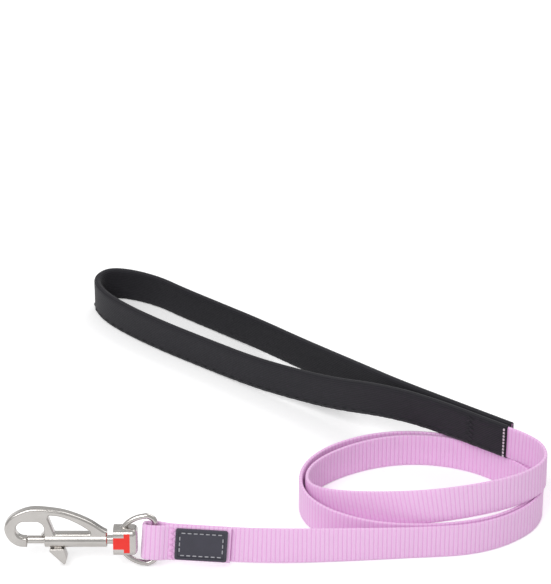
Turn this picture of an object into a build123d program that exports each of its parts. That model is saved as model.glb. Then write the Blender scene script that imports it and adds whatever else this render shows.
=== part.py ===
"""A webbing lead for a small animal: a bolt snap on a swivel, a ribbed strap in loose turns and a soft hand loop.

The lead lies on a flat surface, z = 0, with its strap on edge. X runs along the front of the strap from the snap
towards the turns, Y runs back towards the hand loop and Z is up. Millimetres. Each piece is written to parts/.
"""

import os
from math import asin, atan2, cos, degrees, radians, tan

from build123d import *

# ---------------------------------------------------------------- driving dimensions
STRAP_WIDTH = 12.0
STRAP_THICK = 1.2

BARREL_DIAMETER = 4.8
BARREL_LENGTH = 20.0
BOLT_DIAMETER = 2.6
BOLT_INSIDE = 8.4
BOLT_TRAVEL = 5.4
HOOK_THICK = 3.6
EYE_LENGTH = 9.1
EYE_HEIGHT = 5.4
GATE_OPENING = 5.6
NOSE_LIP = 3.2
SPINE_WIDTH = 2.2
HOOK_ROUNDING = 0.7

LEVER_WIDTH = 4.2
LEVER_STEM_LENGTH = 2.4
LEVER_STEM_WIDTH = 1.6
LEVER_STEM_BACK = 3.0
LEVER_DROP = 5.7
LEVER_DISH_RADIUS = 5.0

SPRING_WIRE = 0.3
SPRING_PITCH = 0.95

STUD_DIAMETER = 2.9
STUD_GAP = 2.0
STUD_SEATED = 3.0
STUD_HEAD_DIAMETER = 6.2
STUD_HEAD_THICK = 1.6

BLOCK_LENGTH = 7.7
BLOCK_HEIGHT = 8.8
BLOCK_DEPTH = 7.5
BLOCK_ROUNDING = 1.9
SLOT_NECK_LENGTH = 3.4
INSERT_WALL = 0.45
BOW_WIRE = 1.8
BOW_HEIGHT = 18.2
BOW_REACH = 13.3
BOW_CORNER = 2.4

FOLD_SLACK = 1.5
FOLD_CLOSES = 4.2
TAIL_LENGTH = 24.2
BARTACK_WIDTH = 2.0
BARTACK_ROWS = 11
THREAD = 0.4

PATCH_START = 6.4
PATCH_LENGTH = 16.6
PATCH_HEIGHT = 10.5
PATCH_THICK = 0.9
PATCH_RIM = 0.8
PATCH_RECESS = 0.3
PATCH_CORNER = 0.7
STITCH_INSET = 1.4
STITCH_LENGTH = 1.2
STITCH_PITCH = 1.95

SLEEVE_WALL = 0.55
SLEEVE_EDGE = 0.3
SEAM_PITCH = 4.0
SEAM_STITCH = 2.2
SEAM_HEIGHT = 1.2
END_STITCHES = 9
NECK_BARTACK = 14.0
NECK_LENGTH = 26.0
END_STRAIGHT = 9.0

RUNNING = 0.05
LOOSE = 0.3
FACE_GAP = 0.1

# The snap leans back on its bow and lever; the sewn end of the strap slopes down from the bow to the surface.
LEAN = 13.0
PITCH = 3.6
SNAP_X = -47.7
SNAP_Y = -80.3
STRAP_DROP = 0.4

# ---------------------------------------------------------------- what follows from them
BARREL_REAR = -STUD_GAP
BARREL_FRONT = BARREL_REAR - BARREL_LENGTH
NOSE_FACE = BARREL_FRONT - GATE_OPENING
BORE_END = BARREL_REAR - STUD_SEATED
BOLT_REAR = BARREL_FRONT + BOLT_INSIDE
STEM_FRONT = BARREL_FRONT + LEVER_STEM_BACK
STEM_REAR = STEM_FRONT + LEVER_STEM_LENGTH
BARREL_RADIUS = BARREL_DIAMETER / 2
BORE_RADIUS = BOLT_DIAMETER / 2 + RUNNING
HEAD_SLOT_LENGTH = STUD_HEAD_THICK + LOOSE
HEAD_SLOT_RADIUS = STUD_HEAD_DIAMETER / 2 + LOOSE / 2
NECK_SLOT_RADIUS = STUD_DIAMETER / 2 + RUNNING + INSERT_WALL
FOLD_GAP = BOW_WIRE / 2 + LOOSE
SLEEVE_THICK = STRAP_THICK + 2 * SLEEVE_WALL
SLEEVE_WIDTH = STRAP_WIDTH + 2 * SLEEVE_EDGE
RIB_FACE = -STRAP_THICK
STRAP_SECTION = Rectangle(STRAP_THICK, STRAP_WIDTH)
SLEEVE_SECTION = Rectangle(SLEEVE_THICK, SLEEVE_WIDTH)

snap_height = (BOW_HEIGHT - BOW_WIRE) / 2 * cos(radians(LEAN)) + BOW_WIRE / 2
snap_place = Location((SNAP_X, SNAP_Y, snap_height), (-LEAN, 0, 0))
strap_place = snap_place * Location((BOW_REACH, 0, -STRAP_DROP), (0, PITCH, 0))


def along_x(radius, start, end, y=0.0, z=0.0):
    """A round bar along X from start to end."""
    return Location(((start + end) / 2, y, z), (0, 90, 0)) * Cylinder(radius, end - start)


def block_between(low, high):
    """A box from one corner to the other."""
    size = [b - a for a, b in zip(low, high)]
    centre = [(a + b) / 2 for a, b in zip(low, high)]
    return Location(centre) * Box(*size)


def upright(outline, thick):
    """A flat outline drawn in X and Z, made thick to both sides of y = 0."""
    return extrude(Plane.XZ * outline, thick / 2, both=True)


# ---------------------------------------------------------------- the bolt snap
def hook_outline():
    """Side view of the casting: the nose, the arched spine, the strut and the foot over the barrel."""
    eye_base = NOSE_LIP / 2 - 0.5
    lip = eye_base - NOSE_LIP
    eye_top = eye_base + EYE_HEIGHT
    crown = eye_top + 4.5
    back = BARREL_FRONT - EYE_LENGTH
    outer = [
        (BARREL_REAR, 3.1),
        (BARREL_REAR - 4.3, 5.9),
        (BARREL_REAR - 9.0, 8.3),
        (BARREL_REAR - 14.0, 10.0),
        (BARREL_FRONT + 0.2, crown - 0.1),
        (BARREL_FRONT - 4.0, crown),
        (back + 1.4, crown - 1.1),
        (back - 1.9, crown - 3.2),
        (back - 3.6, eye_base + 3.6),
        (back - 3.1, eye_base + 0.6),
        (back - 1.3, lip + 1.4),
        (NOSE_FACE - 2.6, lip + 0.2),
        (NOSE_FACE, lip),
    ]
    edge = Spline(*outer, tangents=[(-1, 0.45), (1, -0.05)])
    foot = Polyline(outer[-1], (BARREL_REAR, lip), outer[0])
    face = make_face(edge + foot)
    eye = Pos(BARREL_FRONT - EYE_LENGTH / 2, eye_base + EYE_HEIGHT / 2) * SlotOverall(EYE_LENGTH, EYE_HEIGHT)
    gate = Pos(NOSE_FACE + GATE_OPENING / 2, lip / 2) * Rectangle(GATE_OPENING, -lip + 2 * eye_base + 1.0)
    under = Pos((BARREL_FRONT + BARREL_REAR) / 2, lip - 0.2) * Rectangle(BARREL_LENGTH, 4.0)
    return face - eye - gate - under


def window_outline():
    """The three sided opening between the spine, the strut and the barrel."""
    sill = BARREL_RADIUS + 0.1
    corner_top = (BARREL_FRONT + 1.1, 8.6)
    corner_rear = (BARREL_REAR - 4.6, sill)
    corner_front = (BARREL_FRONT + 3.3, sill)
    arch = Spline(
        corner_top,
        (BARREL_FRONT + 4.9, 8.3),
        (BARREL_REAR - 10.3, 6.4),
        (BARREL_REAR - 6.8, 4.3),
        corner_rear,
    )
    face = make_face(arch + Polyline(corner_rear, corner_front, corner_top))
    return fillet(face.vertices(), 0.45)


def hook_body():
    plate = upright(hook_outline() - window_outline(), HOOK_THICK)
    rims = [e for e in plate.edges() if abs(abs(e.center().Y) - HOOK_THICK / 2) < 0.01]
    plate = fillet(rims, HOOK_ROUNDING)
    barrel = along_x(BARREL_RADIUS, BARREL_FRONT, BARREL_REAR)
    barrel = chamfer(barrel.edges().filter_by(GeomType.CIRCLE), 0.25)
    body = plate + barrel
    body -= along_x(BORE_RADIUS, BARREL_FRONT - 1, BORE_END)
    body -= along_x(STUD_DIAMETER / 2, BORE_END, BARREL_REAR + 1)
    slot_half = LEVER_STEM_WIDTH / 2 + FACE_GAP
    slot_front = STEM_FRONT - 2 * FACE_GAP
    slot_rear = STEM_REAR + BOLT_TRAVEL + 2 * FACE_GAP
    body -= block_between((slot_front, -slot_half, -BARREL_RADIUS - 1), (slot_rear, slot_half, 0))
    return body


def gate_bolt():
    tip = NOSE_FACE + FACE_GAP
    bolt = along_x(BOLT_DIAMETER / 2, tip, BOLT_REAR)
    bolt = chamfer(bolt.edges().filter_by(GeomType.CIRCLE), 0.2)
    return bolt - lever_stem()


def lever_stem():
    """The shank of the lever, from its pocket in the bolt out through the slot."""
    half = LEVER_STEM_WIDTH / 2
    return block_between((STEM_FRONT, -half, -BARREL_RADIUS - 0.6), (STEM_REAR, half, -FACE_GAP))


def thumb_lever():
    top = -BARREL_RADIUS - 2 * FACE_GAP
    side = Polyline(
        (STEM_FRONT - 1.4, top),
        (STEM_REAR + 1.0, top),
        (STEM_REAR + 1.8, top - 0.55 * LEVER_DROP),
        (STEM_REAR + 1.0, top - LEVER_DROP),
        (STEM_FRONT - 1.5, top - 0.9),
        close=True,
    )
    tab = fillet(upright(make_face(side), LEVER_WIDTH).edges(), 0.4)
    lever = tab + lever_stem()
    dish_place = Location((STEM_FRONT - 2.9, 0, top - LEVER_DROP / 2 - 3.3), (90, 0, 0))
    return lever - dish_place * Cylinder(LEVER_DISH_RADIUS, LEVER_WIDTH - 1.0)


def gate_spring():
    start = BOLT_REAR + SPRING_WIRE / 2 + FACE_GAP / 2
    end = BORE_END - SPRING_WIRE / 2 - FACE_GAP / 2
    radius = BORE_RADIUS - SPRING_WIRE / 2 - FACE_GAP
    coil = Helix(SPRING_PITCH, end - start, radius)
    wire_end = Plane(origin=coil @ 0, z_dir=coil % 0)
    spring = sweep(wire_end * Circle(SPRING_WIRE / 2), path=coil, is_frenet=True)
    return Location((start, 0, 0), (0, 90, 0)) * spring


def swivel_stud():
    shank = along_x(STUD_DIAMETER / 2, BORE_END, SLOT_NECK_LENGTH + 0.2)
    head_start = SLOT_NECK_LENGTH + LOOSE / 3
    head = along_x(STUD_HEAD_DIAMETER / 2, head_start, head_start + STUD_HEAD_THICK)
    head = chamfer(head.edges().filter_by(GeomType.CIRCLE), 0.2)
    return shank + head


# ---------------------------------------------------------------- the swivel block and its bow
def slot_cut():
    """The T shaped slot, open to the front and round at its bottom, that takes the stud sideways."""
    front = -BLOCK_DEPTH
    neck = block_between((-1, front, -NECK_SLOT_RADIUS), (SLOT_NECK_LENGTH, 0, NECK_SLOT_RADIUS))
    neck += along_x(NECK_SLOT_RADIUS, -1, SLOT_NECK_LENGTH)
    head_end = SLOT_NECK_LENGTH + HEAD_SLOT_LENGTH
    head = block_between((SLOT_NECK_LENGTH, front, -HEAD_SLOT_RADIUS), (head_end, 0, HEAD_SLOT_RADIUS))
    head += along_x(HEAD_SLOT_RADIUS, SLOT_NECK_LENGTH, head_end)
    return neck + head


def bow():
    """The D shaped bow, a round bar bent in the plane of the block."""
    top = (BOW_HEIGHT - BOW_WIRE) / 2
    root = (BLOCK_LENGTH / 3, BLOCK_HEIGHT / 2 - BOW_WIRE / 2)
    shoulder = (BLOCK_LENGTH - BOW_WIRE, top - BOW_WIRE / 2)
    crown = (BOW_REACH - BOW_CORNER, top)
    corner = (BOW_REACH, STRAP_WIDTH / 2 + BOW_WIRE / 2)
    half = [root, shoulder, crown, corner]
    points = [(x, 0, z) for x, z in half] + [(x, 0, -z) for x, z in reversed(half)]
    bends = [BOW_HEIGHT / 2, BOW_CORNER * 0.8, BOW_CORNER * 0.8]
    path = FilletPolyline(*points, radius=bends + bends[::-1])
    start = Plane(origin=path @ 0, z_dir=path % 0)
    return sweep(start * Circle(BOW_WIRE / 2), path=path)


def block_blank():
    """The block before its slot is cut: round along its four sides and bulging at the end towards the bow."""
    half = BLOCK_DEPTH / 2, BLOCK_HEIGHT / 2
    blank = block_between((0, -half[0], -half[1]), (BLOCK_LENGTH, half[0], half[1]))
    blank = fillet(blank.edges().filter_by(Axis.X), BLOCK_ROUNDING)
    return fillet(blank.faces().sort_by(Axis.X)[-1].edges(), BLOCK_ROUNDING * 0.8)


def swivel_block():
    return block_blank() + bow() - slot_cut()


def locking_insert():
    """The moulded T: its stem straddles the shank and its bar covers the head."""
    front = -BLOCK_DEPTH / 2
    stem = block_between((0, front, -NECK_SLOT_RADIUS), (SLOT_NECK_LENGTH, 0, NECK_SLOT_RADIUS))
    cover = -HEAD_SLOT_RADIUS
    head_end = SLOT_NECK_LENGTH + HEAD_SLOT_LENGTH
    bar = block_between((SLOT_NECK_LENGTH, front, -HEAD_SLOT_RADIUS), (head_end, cover, HEAD_SLOT_RADIUS))
    shank = along_x(STUD_DIAMETER / 2 + RUNNING, -1, SLOT_NECK_LENGTH + 1)
    return (stem + bar - shank) & block_blank()


# ---------------------------------------------------------------- the sewn end of the strap
def strap_end_loop():
    """The strap doubled round the bar of the bow: the tail lies in front and ends past the patch."""
    gap, outer, t = FOLD_GAP, FOLD_GAP + STRAP_THICK, STRAP_THICK
    closes = FOLD_CLOSES
    back = Polyline((TAIL_LENGTH, -t), (closes, -t), (1.0, -outer), (-FOLD_SLACK, -outer))
    turn = ThreePointArc((-FOLD_SLACK, -outer), (-FOLD_SLACK - outer, 0), (-FOLD_SLACK, outer))
    front = Polyline((-FOLD_SLACK, outer), (1.0, outer), (closes, t), (TAIL_LENGTH, t), (TAIL_LENGTH, -t))
    skin = make_face(back + turn + front)
    lens = Polyline((-FOLD_SLACK, gap), (1.0, gap), (closes - 0.4, 0), (1.0, -gap), (-FOLD_SLACK, -gap))
    hollow = make_face(lens + ThreePointArc((-FOLD_SLACK, -gap), (-FOLD_SLACK - gap, 0), (-FOLD_SLACK, gap)))
    return Pos(0, 0, -STRAP_WIDTH / 2) * extrude(skin - hollow, STRAP_WIDTH)


def zigzag(width, height, rows, thick):
    """A bartack: one thread laid to and fro, standing on the plane y = 0 towards the front."""
    step = height / rows
    points = [((-1) ** i * width / 2, -height / 2 + i * step) for i in range(rows + 1)]
    return extrude(Plane.XZ * trace(Polyline(*points), THREAD), thick)


def end_bartack():
    x = PATCH_START - BARTACK_WIDTH / 2 - 2 * FACE_GAP
    return Pos(x, RIB_FACE, 0) * zigzag(BARTACK_WIDTH - THREAD, STRAP_WIDTH - 1.2, BARTACK_ROWS, THREAD * 0.75)


def label_patch():
    """The rubber patch, with a rim that stands round a flat field."""
    outer = RectangleRounded(PATCH_LENGTH, PATCH_HEIGHT, PATCH_CORNER)
    field = RectangleRounded(PATCH_LENGTH - 2 * PATCH_RIM, PATCH_HEIGHT - 2 * PATCH_RIM, PATCH_CORNER / 2)
    patch = extrude(Plane.XZ * outer, PATCH_THICK)
    patch -= Pos(0, PATCH_RECESS - PATCH_THICK, 0) * extrude(Plane.XZ * field, PATCH_THICK)
    return Pos(PATCH_START + PATCH_LENGTH / 2, RIB_FACE, 0) * patch


def label_stitching():
    """Thread dashes in a rectangle inside the rim, each a separate stitch."""
    half_x = PATCH_LENGTH / 2 - STITCH_INSET
    half_z = PATCH_HEIGHT / 2 - STITCH_INSET
    across = int(2 * half_x / STITCH_PITCH)
    up = int(2 * half_z / STITCH_PITCH)
    face = RIB_FACE - PATCH_THICK + PATCH_RECESS
    dash = Location((0, 0, 0), (0, 90, 0)) * Cylinder(THREAD / 2, STITCH_LENGTH)
    dash &= block_between((-STITCH_LENGTH, -THREAD, -THREAD), (STITCH_LENGTH, 0, THREAD))
    stitches = []
    for i in range(across):
        x = (i - (across - 1) / 2) * STITCH_PITCH
        stitches += [Pos(x, 0, z) * dash for z in (-half_z, half_z)]
    for i in range(up):
        z = (i - (up - 1) / 2) * STITCH_PITCH
        stitches += [Location((x, 0, z), (0, 90, 0)) * dash for x in (-half_x, half_x)]
    centre = Pos(PATCH_START + PATCH_LENGTH / 2, face, 0)
    return Compound([centre * s for s in stitches])


# ---------------------------------------------------------------- the route of the strap
FRONT_MIDDLE = (22.0, -79.5, STRAP_WIDTH / 2)
# Each point is the strap's middle in plan and the height of its lower edge in strap widths. Two turns lie on the
# surface, the third lies on top of them at the right, and the hand loop goes back over the rear of the turns.
TURNS = [
    (54.0, -77.7, 0.0),
    (68.0, -76.1, 0.0),
    (80.0, -70.7, 0.0),
    (90.0, -61.1, 0.0),
    (92.0, -48.6, 0.0),
    (83.5, -38.1, 0.0),
    (72.0, -27.6, 0.0),
    (54.0, -22.3, 0.0),
    (37.0, -23.3, 0.0),
    (21.5, -30.9, 0.0),
    (12.5, -42.6, 0.0),
    (12.0, -56.6, 0.0),
    (20.0, -67.6, 0.0),
    (35.0, -75.0, 0.0),
    (52.0, -76.3, 0.0),
    (67.0, -74.4, 0.0),
    (79.0, -69.3, 0.0),
    (88.8, -60.3, 0.0),
    (90.3, -48.7, 0.0),
    (82.2, -39.1, 0.0),
    (70.8, -29.1, 0.0),
    (54.0, -24.3, 0.0),
    (38.0, -26.3, 0.0),
    (24.0, -33.4, 0.0),
    (15.0, -42.6, 0.0),
    (13.6, -53.6, 0.05),
    (21.0, -61.1, 0.2),
    (35.5, -68.1, 0.517),
    (52.0, -72.1, 0.883),
    (69.0, -70.1, 1.025),
    (83.0, -64.7, 1.025),
    (92.0, -57.6, 1.025),
    (91.5, -48.1, 1.025),
    (85.2, -41.9, 1.042),
]
HAND_LOOP = [
    (80.5, -39.1, 1.05),
    (55.3, -21.1, 1.05),
    (40.3, -10.2, 0.85),
    (24.0, 1.6, 0.433),
    (10.0, 12.1, 0.217),
    (-4.0, 22.1, 0.083),
    (-21.0, 35.5, 0.025),
    (-35.7, 46.4, 0.025),
    (-49.5, 58.1, 0.025),
    (-58.5, 68.1, 0.025),
    (-62.0, 77.4, 0.025),
    (-58.0, 84.1, 0.025),
    (-49.5, 83.3, 0.025),
    (-38.5, 77.8, 0.025),
    (-30.0, 70.3, 0.025),
    (-16.0, 59.3, 0.025),
    (-2.5, 47.8, 0.075),
    (13.0, 31.3, 0.233),
    (22.8, 19.7, 0.417),
    (34.0, 5.8, 0.667),
    (43.5, -6.5, 0.9),
    (56.7, -19.15, 1.05),
    (81.9, -37.15, 1.05),
]


def route(points):
    """Straight runs joined by tangent arcs, each as large as its two runs allow, at half the strap's width."""
    middles = [Vector(x, y, (rise + 0.5) * STRAP_WIDTH) for x, y, rise in points]
    radii = []
    for before, here, after in zip(middles, middles[1:], middles[2:]):
        turn = (here - before).get_angle(after - here)
        shorter = min((here - before).length, (after - here).length)
        radii.append(0.45 * shorter / tan(radians(turn / 2)))
    print("bend radii", [round(r, 1) for r in radii])
    return Wire(FilletPolyline(*middles, radius=radii).edges())


def band(path, section):
    """A flat section swept along a path run by run, kept upright by a copy of each run above it."""
    spans = []
    for edge in path.order_edges():
        run = Wire([edge])
        heading = run % 0
        across = (-heading.Y, heading.X, 0)
        start = Plane(origin=run @ 0, x_dir=across, z_dir=(heading.X, heading.Y, 0))
        guide = run.moved(Pos(0, 0, 3 * STRAP_WIDTH))
        spans.append(sweep(start * section, path=run, binormal=guide, clean=False))
    return spans[0].fuse(*spans[1:])


def front_run(path):
    """The strap from the sewn end to the turns, which stands up and comes down to the surface as it goes."""
    begin = path @ 0
    heading = path % 0
    turned = degrees(atan2(heading.Y, heading.X))
    places = [
        strap_place * Pos(TAIL_LENGTH, STRAP_THICK / 2, 0),
        strap_place * Pos(TAIL_LENGTH + END_STRAIGHT, STRAP_THICK / 2, 0),
        Location(FRONT_MIDDLE, (-LEAN / 2, PITCH / 6, turned / 2)),
        Location(begin, (0, 0, turned)),
    ]
    cut_end = Plane.YZ * STRAP_SECTION
    return Solid.make_loft([(p * cut_end).faces()[0].outer_wire() for p in places], ruled=True)


def lead_webbing(path):
    """The whole strap in one piece: the front run, the turns and the hand loop."""
    front = front_run(path)
    turns = band(path, STRAP_SECTION)
    area = STRAP_THICK * STRAP_WIDTH
    print("strap from the sewn end", round(path.length + front.volume / area, 1))
    print("turns and loop, volume against section times length", round(turns.volume, 1), round(path.length * area, 1))
    return front + turns


# ---------------------------------------------------------------- the hand loop
def handle_sleeve(loop):
    """The twill sleeve round the strap's hand loop, open at its two ends."""
    hollow = Rectangle(STRAP_THICK + 2 * RUNNING, STRAP_WIDTH + 2 * RUNNING)
    sleeve = band(loop, SLEEVE_SECTION - hollow)
    print("sleeve, length and volume", round(loop.length, 1), round(sleeve.volume, 1))
    return sleeve


def on_sleeve(loop, along, height):
    """A place on the sleeve's outer face, its X along the sleeve and its Y outwards."""
    point = loop.position_at(along, PositionMode.LENGTH)
    heading = loop.tangent_at(along, PositionMode.LENGTH)
    turned = degrees(atan2(heading.Y, heading.X))
    climb = degrees(asin(heading.Z))
    outside = Location(point, (0, 0, turned)) * Pos(0, SLEEVE_THICK / 2, height - SLEEVE_WIDTH / 2)
    return outside * Rot(0, -climb, 0)


def sleeve_seam_thread(loop):
    """The seam along the sleeve's lower edge, one stitch after another on its outer face."""
    count = int((loop.length - 2 * NECK_LENGTH) / SEAM_PITCH)
    stitch = Pos(0, THREAD / 4 + RUNNING / 3, 0) * Box(SEAM_STITCH, THREAD / 2, THREAD)
    starts = [NECK_LENGTH + (i + 0.5) * SEAM_PITCH for i in range(count)]
    return Compound([on_sleeve(loop, s, SEAM_HEIGHT) * stitch for s in starts])


def neck_bartack(loop):
    """The cross stitching that holds the two sides of the loop together at the neck."""
    rows = zigzag(BARTACK_WIDTH, SLEEVE_WIDTH - BARTACK_WIDTH, BARTACK_ROWS, THREAD / 2)
    return on_sleeve(loop, NECK_BARTACK, SLEEVE_WIDTH / 2) * Rot(0, 0, 180) * rows


def sleeve_end_thread(loop):
    """Light stitches along the sleeve's open end."""
    step = (STRAP_WIDTH - THREAD) / END_STITCHES
    stitch = Pos(0, THREAD / 4, 0) * Box(THREAD * 1.5, THREAD / 2, step * 0.6)
    heights = [SLEEVE_EDGE + THREAD / 2 + (i + 0.5) * step for i in range(END_STITCHES)]
    return Compound([on_sleeve(loop, THREAD * 2, h) * stitch for h in heights])


# ---------------------------------------------------------------- the pieces in their places
if __name__ == "__main__":
    os.makedirs("parts", exist_ok=True)
    whole = route(TURNS + HAND_LOOP)
    loop = route(HAND_LOOP)
    pieces = {
        "hook_body": snap_place * hook_body(),
        "gate_bolt": snap_place * gate_bolt(),
        "thumb_lever": snap_place * thumb_lever(),
        "gate_spring": snap_place * gate_spring(),
        "swivel_stud": snap_place * swivel_stud(),
        "swivel_block": snap_place * swivel_block(),
        "locking_insert": snap_place * locking_insert(),
        "strap_end_loop": strap_place * strap_end_loop(),
        "end_bartack": strap_place * end_bartack(),
        "label_patch": strap_place * label_patch(),
        "label_stitching": strap_place * label_stitching(),
        "lead_webbing": lead_webbing(whole),
        "handle_sleeve": handle_sleeve(loop),
        "sleeve_seam_thread": sleeve_seam_thread(loop),
        "neck_bartack": neck_bartack(loop),
        "sleeve_end_thread": sleeve_end_thread(loop),
    }
    for name, piece in pieces.items():
        export_step(piece, f"parts/{name}.step")
        box = piece.bounding_box()
        low, high = [[round(c, 2) for c in corner] for corner in (box.min, box.max)]
        print(name, len(piece.solids()), round(piece.volume, 1), piece.is_valid, low, high)
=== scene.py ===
from math import pi, radians

import bpy
import numpy as np
from mathutils import Matrix, Vector


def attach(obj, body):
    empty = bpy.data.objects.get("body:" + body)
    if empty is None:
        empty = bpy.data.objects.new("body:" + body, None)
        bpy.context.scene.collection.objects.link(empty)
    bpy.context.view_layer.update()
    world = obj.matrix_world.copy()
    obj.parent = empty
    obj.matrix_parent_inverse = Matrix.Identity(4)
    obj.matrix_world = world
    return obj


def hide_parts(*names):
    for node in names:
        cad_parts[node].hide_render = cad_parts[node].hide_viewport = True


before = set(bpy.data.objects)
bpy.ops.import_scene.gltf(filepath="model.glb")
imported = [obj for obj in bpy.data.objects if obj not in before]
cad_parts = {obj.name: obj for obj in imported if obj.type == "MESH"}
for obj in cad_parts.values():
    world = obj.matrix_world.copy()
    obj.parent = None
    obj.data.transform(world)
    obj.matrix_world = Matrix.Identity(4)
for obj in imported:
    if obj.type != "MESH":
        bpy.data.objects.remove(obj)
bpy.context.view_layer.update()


# ---------------------------------------------------------------- where the lead lies
# The lead lies on a plain white table under a soft sky and two soft boxes. The camera looks down on it from the front
# at 31 degrees, from far enough off to keep its lines straight.
camera_data = bpy.data.cameras.new("camera")
camera_data.sensor_fit = "HORIZONTAL"
camera_data.sensor_width = 36.0
camera_data.lens = 189.5
camera_data.clip_start = 0.01
camera = bpy.data.objects.new("camera", camera_data)
camera.location = (0.004, -0.8336, 0.5537)
camera.rotation_euler = (radians(59), 0, 0)
bpy.context.scene.collection.objects.link(camera)
bpy.context.scene.camera = camera
bpy.context.scene.view_settings.view_transform = "Standard"


class Value:
    """A shader socket that takes part in sums. Each sum adds a Math node; node() adds any other node."""

    def __init__(self, tree, socket=None):
        self.tree = tree
        self.socket = socket

    def node(self, kind, inputs=None, output=0, **settings):
        """Adds a node of that kind, sets its settings, then feeds its sockets with numbers, colours or values."""
        made = self.tree.nodes.new(kind)
        for name, setting in settings.items():
            setattr(made, name, setting)
        feed(made, inputs or {})
        return Value(self.tree, made.outputs[output])

    def sum(self, operation, first, second=0.0):
        return self.node("ShaderNodeMath", {0: first, 1: second}, operation=operation)

    def __add__(self, other):
        return self.sum("ADD", self, other)

    def __radd__(self, other):
        return self.sum("ADD", other, self)

    def __sub__(self, other):
        return self.sum("SUBTRACT", self, other)

    def __rsub__(self, other):
        return self.sum("SUBTRACT", other, self)

    def __mul__(self, other):
        return self.sum("MULTIPLY", self, other)

    def __rmul__(self, other):
        return self.sum("MULTIPLY", other, self)

    def __truediv__(self, other):
        return self.sum("DIVIDE", self, other)

    def __pow__(self, other):
        return self.sum("POWER", self, other)

    def __abs__(self):
        return self.sum("ABSOLUTE", self)

    def sine(self):
        return self.sum("SINE", self)

    def floor(self):
        return self.sum("FLOOR", self)


def feed(node, inputs):
    """Gives each named or numbered socket of a node its number, its colour or its link."""
    for name, value in inputs.items():
        socket = node.inputs[name]
        if isinstance(value, Value):
            node.id_data.links.new(value.socket, socket)
        elif socket.type == "RGBA":
            socket.default_value = (*value, 1.0)
        else:
            socket.default_value = value


def finish_of(name, **sockets):
    """A new material, with the sockets of its Principled shader set by name: the material, its shader and its tree."""
    made = bpy.data.materials.new(name)
    made.use_nodes = True
    shader = made.node_tree.nodes["Principled BSDF"]
    feed(shader, {key.replace("_", " "): value for key, value in sockets.items()})
    return made, shader, Value(made.node_tree)


table_half = 3.0
table_corners = [(-table_half, -table_half, 0), (table_half, -table_half, 0), (table_half, table_half, 0),
                 (-table_half, table_half, 0)]
table_mesh = bpy.data.meshes.new("table_top")
table_mesh.from_pydata(table_corners, [], [(0, 1, 2, 3)])
table_top = bpy.data.objects.new("table_top", table_mesh)
bpy.context.scene.collection.objects.link(table_top)
table_lift = 0.3
table_finish, table_shader, paint = finish_of("white_table", Base_Color=(0.93, 0.93, 0.935), Roughness=0.9)
plain = Value(paint.tree, table_shader.outputs[0])
glow = paint.node("ShaderNodeEmission", {"Color": (1.0, 1.0, 1.0), "Strength": table_lift})
seen = paint.node("ShaderNodeLightPath", output="Is Camera Ray")
brighter = paint.node("ShaderNodeAddShader", {0: plain, 1: glow})
lifted = paint.node("ShaderNodeMixShader", {0: seen, 1: plain, 2: brighter})
feed(paint.tree.nodes["Material Output"], {"Surface": lifted})
table_mesh.materials.append(table_finish)

sky = bpy.data.worlds.new("soft_sky")
sky.use_nodes = True
sky_level = 0.52
air = Value(sky.node_tree)
feed(sky.node_tree.nodes["Background"], {"Color": (1.0, 1.0, 1.0), "Strength": sky_level})
soft = Value(sky.node_tree, sky.node_tree.nodes["Background"].outputs[0])
white = air.node("ShaderNodeBackground", {"Color": (1.0, 1.0, 1.0), "Strength": 1.0})
seen = air.node("ShaderNodeLightPath", output="Is Camera Ray")
feed(sky.node_tree.nodes["World Output"], {"Surface": air.node("ShaderNodeMixShader", {0: seen, 1: soft, 2: white})})
bpy.context.scene.world = sky

for name, place, across, power in (
    ("front_box", (-0.45, -0.7, 0.95), 0.8, 7.4),
    ("back_box", (0.5, 0.75, 0.95), 0.9, 4.6),
):
    light = bpy.data.lights.new(name, "AREA")
    light.size = across
    light.energy = power
    lamp = bpy.data.objects.new(name, light)
    lamp.location = place
    lamp.rotation_euler = (-Vector(place)).to_track_quat("-Z", "Y").to_euler()
    bpy.context.scene.collection.objects.link(lamp)


# ---------------------------------------------------------------- the strap
# Woven nylon webbing, 12 mm wide and 1.2 mm thick, with a rib across it at each pick. One length runs from the sewn end
# at the snap through two turns on the table, up on top of them at the right, and round the hand loop inside its sleeve.
strap_width = 0.012
strap_thick = 0.0012
rib_pitch = 0.00143
rib_depth = 0.00016
groove_power = 0.6
deep_share = 0.65
shallow_share = 0.35
edge_radius = 0.00052
strap_run = [
    (-0.01025, -0.08015, 0.00688), (-0.00127, -0.08027, 0.00633), (0.022, -0.0795, 0.0060),
]
strap_turns = [
    (0.0540, -0.0777, 0.0060), (0.0680, -0.0761, 0.0060), (0.0800, -0.0707, 0.0060), (0.0900, -0.0611, 0.0060),
    (0.0920, -0.0486, 0.0060), (0.0835, -0.0381, 0.0060), (0.0720, -0.0276, 0.0060), (0.0540, -0.0223, 0.0060),
    (0.0370, -0.0233, 0.0060), (0.0215, -0.0309, 0.0060), (0.0125, -0.0426, 0.0060), (0.0120, -0.0566, 0.0060),
    (0.0200, -0.0676, 0.0060), (0.0350, -0.0750, 0.0060), (0.0520, -0.0763, 0.0060), (0.0670, -0.0744, 0.0060),
    (0.0790, -0.0693, 0.0060), (0.0888, -0.0603, 0.0060), (0.0903, -0.0487, 0.0060), (0.0822, -0.0391, 0.0060),
    (0.0708, -0.0291, 0.0060), (0.0540, -0.0243, 0.0060), (0.0380, -0.0263, 0.0060), (0.0240, -0.0334, 0.0060),
    (0.0150, -0.0426, 0.0060), (0.0136, -0.0536, 0.0066), (0.0210, -0.0611, 0.0084), (0.0355, -0.0681, 0.0122),
    (0.0520, -0.0735, 0.0166), (0.0690, -0.0718, 0.0183), (0.0830, -0.0661, 0.0183), (0.0920, -0.0576, 0.0183),
    (0.0915, -0.0481, 0.0183), (0.0852, -0.0419, 0.0185),
]
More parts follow.
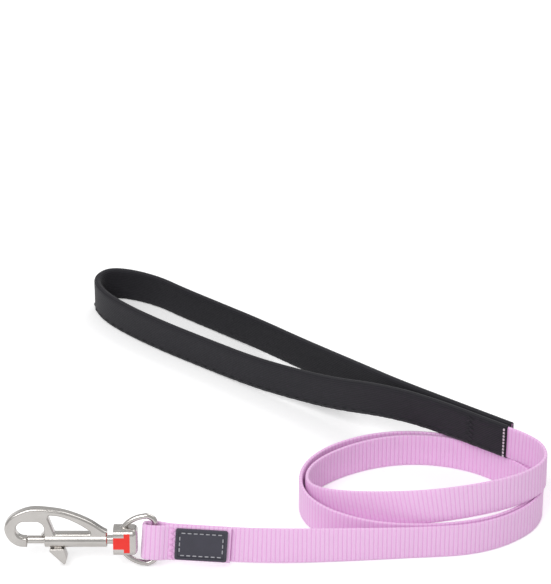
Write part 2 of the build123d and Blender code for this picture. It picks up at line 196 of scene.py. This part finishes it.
hand_loop = [
    (0.0805, -0.0391, 0.0186), (0.0553, -0.0211, 0.0186), (0.0403, -0.0102, 0.0162), (0.0240, 0.0016, 0.0112),
    (0.0100, 0.0121, 0.0086), (-0.0040, 0.0221, 0.0070), (-0.0210, 0.0355, 0.0063), (-0.0357, 0.0464, 0.0063),
    (-0.0495, 0.0581, 0.0063), (-0.0585, 0.0681, 0.0063), (-0.0620, 0.0774, 0.0063), (-0.0580, 0.0841, 0.0063),
    (-0.0495, 0.0833, 0.0063), (-0.0385, 0.0778, 0.0063), (-0.0300, 0.0703, 0.0063), (-0.0160, 0.0593, 0.0063),
    (-0.0025, 0.0478, 0.0069), (0.0130, 0.0313, 0.0088), (0.0228, 0.0197, 0.0110), (0.0340, 0.0058, 0.0140),
    (0.0435, -0.0065, 0.0168), (0.0567, -0.0191, 0.0186), (0.0819, -0.0371, 0.0186),
]


def smooth_line(name, points):
    """Points along one smooth curve: a NURBS spline of order 3 with `points` as its control points."""
    curve = bpy.data.curves.new(name, "CURVE")
    curve.dimensions = "3D"
    curve.resolution_u = 24
    spline = curve.splines.new("NURBS")
    spline.points.add(len(points) - 1)
    spline.points.foreach_set("co", np.c_[points, np.ones(len(points))].ravel())
    spline.order_u = 3
    spline.use_endpoint_u = True
    guide = bpy.data.objects.new(name, curve)
    mesh = bpy.data.meshes.new_from_object(guide)
    line = np.empty(len(mesh.vertices) * 3)
    mesh.vertices.foreach_get("co", line)
    bpy.data.meshes.remove(mesh)
    bpy.data.objects.remove(guide)
    bpy.data.curves.remove(curve)
    return line.reshape(-1, 3)


def distances(line):
    """How far along a line each of its points is, adding up the steps between them."""
    return np.r_[0.0, np.cumsum(np.linalg.norm(np.diff(line, axis=0), axis=1))]


def places_on(line, along):
    """The points of a line at the distances `along`, between its own points on straight steps."""
    far = distances(line)
    return np.stack([np.interp(along, far, line[:, axis]) for axis in range(3)], axis=1)


def carried(line, along, across, up, lean=0.0):
    """A section carried along a line: point = P + across * N + up * U, where P is the line's place at `along` and T its
    heading there, N is level and square to T, U is square to both, and N and U are turned by `lean` about T."""
    step = 0.0004
    here = places_on(line, along)
    heading = places_on(line, along + step) - places_on(line, along - step)
    heading /= np.linalg.norm(heading, axis=1)[:, None]
    level = np.stack([-heading[:, 1], heading[:, 0], 0 * heading[:, 0]], axis=1)
    level /= np.linalg.norm(level, axis=1)[:, None]
    upright = np.cross(heading, level)
    turn = np.broadcast_to(lean, along.shape)[:, None]
    side = np.cos(turn) * level - np.sin(turn) * upright
    top = np.cos(turn) * upright + np.sin(turn) * level
    return here[:, None] + across[..., None] * side[:, None] + up[..., None] * top[:, None]


def surface(name, grid, around, along, ends=True):
    """A mesh over a grid of points whose columns close into a ring. Each cell is a face, `ends` closes the first and
    last rings, and the UV map holds metres: u is the distance `along`, v the distance `around`."""
    rows, columns = grid.shape[:2]
    row, column = np.meshgrid(np.arange(rows - 1), np.arange(columns), indexing="ij")
    after = (column + 1) % columns
    corners = np.stack([row * columns + column, row * columns + after,
                        (row + 1) * columns + after, (row + 1) * columns + column], axis=-1).reshape(-1)
    u = along[np.stack([row, row, row + 1, row + 1], axis=-1)].reshape(-1)
    v = around[np.stack([column, column + 1, column + 1, column], axis=-1)].reshape(-1)
    starts = np.arange((rows - 1) * columns) * 4
    if ends:
        ring = np.arange(columns)
        corners = np.r_[corners, ring[::-1], (rows - 1) * columns + ring]
        u = np.r_[u, np.full(columns, along[0]), np.full(columns, along[-1])]
        v = np.r_[v, around[:-1][::-1], around[:-1]]
        starts = np.r_[starts, len(starts) * 4, len(starts) * 4 + columns]
    mesh = bpy.data.meshes.new(name)
    mesh.vertices.add(rows * columns)
    mesh.vertices.foreach_set("co", grid.reshape(-1))
    mesh.loops.add(len(corners))
    mesh.loops.foreach_set("vertex_index", corners.astype(np.int32))
    mesh.polygons.add(len(starts))
    mesh.polygons.foreach_set("loop_start", starts.astype(np.int32))
    mesh.uv_layers.new(name="UVMap")
    mesh.uv_layers[0].data.foreach_set("uv", np.stack([u, v], axis=1).reshape(-1))
    mesh.update(calc_edges=True)
    mesh.validate()
    mesh.shade_smooth()
    made = bpy.data.objects.new(name, mesh)
    bpy.context.scene.collection.objects.link(made)
    return made


def band_section(width, thick, radius, across_face, round_edge):
    """The outline of a flat band on edge: two flat faces and two round edges. Gives the offsets across and up, and how
    far round the outline each point is. A round edge is radius * (cos a, sin a) about the middle of the band's end."""
    flat = np.linspace(-1, 1, across_face) * (width / 2 - radius)
    angle = np.linspace(0, pi, round_edge + 2)[1:-1]
    half = thick / 2
    across = np.r_[np.full(across_face, half), half * np.cos(angle), np.full(across_face, -half), -half * np.cos(angle)]
    top = width / 2 - radius + radius * np.sin(angle)
    up = np.r_[flat, top, flat[::-1], -top]
    around = distances(np.c_[np.r_[across, across[0]], np.r_[up, up[0]]])
    return across, up, around


def webbing(name, line, along, lean=0.0, placed=None):
    """Ribbed webbing carried along a line. The faces sink between ribs by 1 - |sin(pi s / pitch)| to a power,
    with a shallower groove half way, and half as much at the edges. `placed` moves the finished points."""
    across, up, around = band_section(strap_width, strap_thick, edge_radius, 7, 5)
    deep = 1 - np.abs(np.sin(pi * along / rib_pitch)) ** groove_power
    shallow = 1 - np.abs(np.sin(2 * pi * along / rib_pitch)) ** groove_power
    sunk = rib_depth * (deep_share * deep + shallow_share * shallow)
    face = np.abs(up) < strap_width / 2 - edge_radius * 0.9
    inward = 1 - sunk[:, None] / (strap_thick / 2)
    narrower = 1 - 0.5 * sunk[:, None] / (strap_width / 2) * ~face
    grid = carried(line, along, across * inward, up * narrower, lean)
    return surface(name, grid if placed is None else placed(grid), around, along)


strap_line = smooth_line("strap_line", strap_run + strap_turns + hand_loop)
strap_length = distances(strap_line)[-1]
sleeve_start = strap_length - distances(smooth_line("loop_line", hand_loop))[-1]
ribbed = np.arange(0, sleeve_start + 0.004, rib_pitch / 8)
covered = np.arange(ribbed[-1] // rib_pitch + 1.5, strap_length / rib_pitch - 1, 3.0) * rib_pitch
strap_stations = np.r_[ribbed, covered, strap_length]
end_lean = radians(13)
top_turn_lean = radians(8)
top_turn_at = sleeve_start - 0.075
strap_lean = (end_lean * np.clip(1 - (strap_stations - 0.012) / 0.045, 0, 1)
              + top_turn_lean * np.exp(-(((strap_stations - top_turn_at) / 0.034) ** 2)))
strap = webbing("strap", strap_line, strap_stations, strap_lean)

thread_pitch = 0.00046
# The ridge colour is the webbing's own pink. The groove colour is painted shade, darker and more saturated, for the
# grooves between the ribs.
webbing_ridge = (0.915, 0.640, 0.895)
painted_groove_shade = (0.86, 0.36, 0.77)
webbing_finish, shader, paint = finish_of("pink_webbing", Roughness=0.62, Sheen_Weight=0.25, Sheen_Roughness=0.5,
                                          Specular_IOR_Level=0.35)
uv = paint.node("ShaderNodeUVMap", uv_map="UVMap")
s = paint.node("ShaderNodeSeparateXYZ", {0: uv})
t = Value(paint.tree, s.socket.node.outputs[1])
place = paint.node("ShaderNodeTexCoord", output="Object")
rib = abs((s * (pi / rib_pitch)).sine()) * deep_share + abs((s * (2 * pi / rib_pitch)).sine()) * shallow_share
row_shift = (s / rib_pitch).floor() * 0.5
yarn = abs(((t / thread_pitch + row_shift) * pi).sine())
scatter = paint.node("ShaderNodeTexNoise", {"Vector": place, "Scale": 900.0, "Detail": 3.0})
cloudy = paint.node("ShaderNodeTexNoise", {"Vector": place, "Scale": 60.0, "Detail": 2.0})
# Painted shade: the rib wave that sinks the geometry also darkens the colour towards the groove colour in the grooves.
# The yarn and noise terms add the weave's own pattern and uneven tone.
depth = rib ** 0.7 * 0.75 + yarn * 0.17 + scatter * 0.14 + cloudy * 0.12 - 0.08
colour = paint.node("ShaderNodeMix", {"Factor": depth, 6: painted_groove_shade, 7: webbing_ridge}, output=2,
                    data_type="RGBA")
bump = paint.node("ShaderNodeBump", {"Strength": 0.55, "Distance": 0.00012, "Height": yarn * 0.7 + scatter * 0.5})
feed(shader, {"Base Color": colour, "Normal": bump, "Roughness": 0.72 - rib * 0.12})
strap.data.materials.append(webbing_finish)
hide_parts("lead_webbing")
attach(strap, "lead")


# ---------------------------------------------------------------- the sewn end
# The strap is doubled round the straight bar of the bow, and its tail lies in front and is sewn down. The doubled
# length leans back with the snap and slopes down to where the strap stands on the table.
snap_lean = radians(13)
strap_pitch = radians(3.6)
bow_bar = (-0.0344, -0.08039, 0.0085)
fold = [
    (0.0242, -0.0006, 0), (0.0090, -0.0006, 0), (0.0042, -0.0007, 0), (0.0016, -0.0018, 0), (-0.0012, -0.0019, 0),
    (-0.0035, -0.0016, 0), (-0.0039, 0.0, 0), (-0.0035, 0.0016, 0), (-0.0012, 0.0019, 0), (0.0016, 0.0018, 0),
    (0.0042, 0.0007, 0), (0.0090, 0.0006, 0), (0.0242, 0.0006, 0),
]
end_tilt = np.array(Matrix.Rotation(-snap_lean, 3, "X") @ Matrix.Rotation(strap_pitch, 3, "Y"))


def at_sewn_end(points):
    """Points of the sewn end, drawn round the bow's bar, put in place: tilt * point + bar."""
    return points @ end_tilt.T + np.array(bow_bar)


fold_line = smooth_line("fold_line", fold)
fold_stations = np.arange(0, distances(fold_line)[-1], rib_pitch / 8)
sewn_end = webbing("sewn_end", fold_line, fold_stations, placed=at_sewn_end)
sewn_end.data.materials.append(webbing_finish)
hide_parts("strap_end_loop")
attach(sewn_end, "lead")


# ---------------------------------------------------------------- the label patch
# A plain moulded rubber patch with a raised rim, stitched to the tail with grey thread. It carries no marking.
def dress(finish, *nodes):
    """Gives solids of the frame a finish."""
    for node in nodes:
        for slot in bpy.data.objects[node].material_slots:
            slot.material = finish


def mottled(name, dark, light, scale, roughness, bump, **sockets):
    """A finish whose colour and roughness wander between two ends, with a fine grain raised by `bump` metres."""
    made, shader, paint = finish_of(name, **sockets)
    place = paint.node("ShaderNodeTexCoord", output="Object")
    cloud = paint.node("ShaderNodeTexNoise", {"Vector": place, "Scale": scale, "Detail": 3.0})
    grain = paint.node("ShaderNodeTexNoise", {"Vector": place, "Scale": scale * 9, "Detail": 2.0})
    colour = paint.node("ShaderNodeMix", {"Factor": cloud * 0.8 + grain * 0.2, 6: dark, 7: light}, output=2,
                        data_type="RGBA")
    raised = paint.node("ShaderNodeBump", {"Strength": 0.5, "Distance": bump, "Height": grain})
    feed(shader, {"Base Color": colour, "Roughness": roughness[0] + cloud * (roughness[1] - roughness[0]),
                  "Normal": raised})
    return made


black_rubber = mottled("black_rubber", (0.038, 0.038, 0.052), (0.058, 0.056, 0.078), 320, (0.5, 0.66), 0.00005)
grey_thread = mottled("grey_thread", (0.28, 0.28, 0.31), (0.52, 0.52, 0.56), 700, (0.6, 0.8), 0.00006)
pink_thread = mottled("pink_thread", (0.80, 0.36, 0.72), (0.93, 0.62, 0.88), 700, (0.6, 0.8), 0.00006)
dress(black_rubber, "label_patch")
dress(grey_thread, "label_stitching")
dress(pink_thread, "end_bartack")


# ---------------------------------------------------------------- the sleeve of the hand loop
# A tube of black twill tape drawn over the strap, ribbed along its length, closed by a running stitch near its lower
# edge and by pale stitches at its end.
sleeve_width = 0.0126
sleeve_thick = 0.0023
sleeve_rib = 0.0007
hem_wave = 0.00014
hem_ripples = (900, 0.6, 0.0), (2130, 0.4, 1.0)
hem_below = -0.004
station_step = 0.0008
sleeve_stations = np.r_[np.arange(sleeve_start, strap_length, station_step), strap_length]
across, up, sleeve_around = band_section(sleeve_width, sleeve_thick, sleeve_thick / 2 - 0.0001, 9, 5)
hem = sum(np.sin(sleeve_stations * rate + shift) * share for rate, share, shift in hem_ripples)
wavy = up + np.where(up < hem_below, 1.0, 0.0) * (hem_wave * np.abs(hem))[:, None]
sleeve = surface("sleeve", carried(strap_line, sleeve_stations, np.broadcast_to(across, wavy.shape), wavy),
                 sleeve_around, sleeve_stations)
black_twill, shader, paint = finish_of("black_twill", Sheen_Weight=0.12, Specular_IOR_Level=0.3)
uv = paint.node("ShaderNodeUVMap", uv_map="UVMap")
s = paint.node("ShaderNodeSeparateXYZ", {0: uv})
t = Value(paint.tree, s.socket.node.outputs[1])
place = paint.node("ShaderNodeTexCoord", output="Object")
rib = abs((t * (pi / sleeve_rib)).sine())
twill = abs(((s + t) * (pi / (sleeve_rib * 0.6))).sine())
lint = paint.node("ShaderNodeTexNoise", {"Vector": place, "Scale": 700.0, "Detail": 3.0})
weave = rib * 0.5 + twill * 0.25 + lint * 0.25
colour = paint.node("ShaderNodeMix", {"Factor": weave, 6: (0.0045, 0.004, 0.006), 7: (0.021, 0.020, 0.026)}, output=2,
                    data_type="RGBA")
raised = paint.node("ShaderNodeBump", {"Strength": 0.7, "Distance": 0.00015, "Height": weave})
feed(shader, {"Base Color": colour, "Normal": raised, "Roughness": 0.86 - weave * 0.2})
sleeve.data.materials.append(black_twill)
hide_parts("handle_sleeve")
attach(sleeve, "lead")

# The running stitch is one thread that sways in and out of the tape, so that it shows once in every pitch.
seam_pitch = 0.004
seam_height = -0.0048
thread_radius = 0.0002
thread_sway = 0.0002
thread_sides = 6
seam_ends = 0.003
seam_stations = np.arange(sleeve_start + seam_ends, strap_length - seam_ends, seam_pitch / 8)
round_the_thread = np.linspace(0, 2 * pi, thread_sides + 1)[:-1]
depth = sleeve_thick / 2 + thread_sway * np.sin(2 * pi * seam_stations / seam_pitch)
grid = carried(strap_line, seam_stations, depth[:, None] + thread_radius * np.cos(round_the_thread),
               np.broadcast_to(seam_height + thread_radius * np.sin(round_the_thread),
                               (len(seam_stations), len(round_the_thread))))
seam = surface("seam", grid, np.linspace(0, 2 * pi * thread_radius, thread_sides + 1), seam_stations)
black_thread = mottled("black_thread", (0.006, 0.006, 0.008), (0.03, 0.03, 0.036), 700, (0.6, 0.8), 0.00006)
pale_thread = mottled("pale_thread", (0.55, 0.48, 0.52), (0.85, 0.78, 0.82), 700, (0.6, 0.8), 0.00006)
seam.data.materials.append(black_thread)
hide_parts("sleeve_seam_thread")
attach(seam, "lead")
dress(black_thread, "neck_bartack")
dress(pale_thread, "sleeve_end_thread")


# ---------------------------------------------------------------- the snap and its swivel
# Cast and turned zinc, tumbled and plated with bright nickel, with a steel spring inside the barrel. A red moulded
# insert locks the shank into the swivel block.
nickel = mottled("nickel", (0.50, 0.475, 0.45), (0.74, 0.715, 0.69), 150, (0.16, 0.30), 0.00003, Metallic=1.0)
spring_steel = mottled("spring_steel", (0.40, 0.39, 0.38), (0.60, 0.59, 0.58), 300, (0.25, 0.4), 0.00003, Metallic=1.0)
red_plastic = mottled("red_plastic", (0.84, 0.028, 0.02), (0.95, 0.045, 0.032), 240, (0.36, 0.5), 0.00003,
                      Specular_IOR_Level=0.4)
dress(nickel, "hook_body", "gate_bolt", "thumb_lever", "swivel_stud", "swivel_block")
dress(spring_steel, "gate_spring")
dress(red_plastic, "locking_insert")
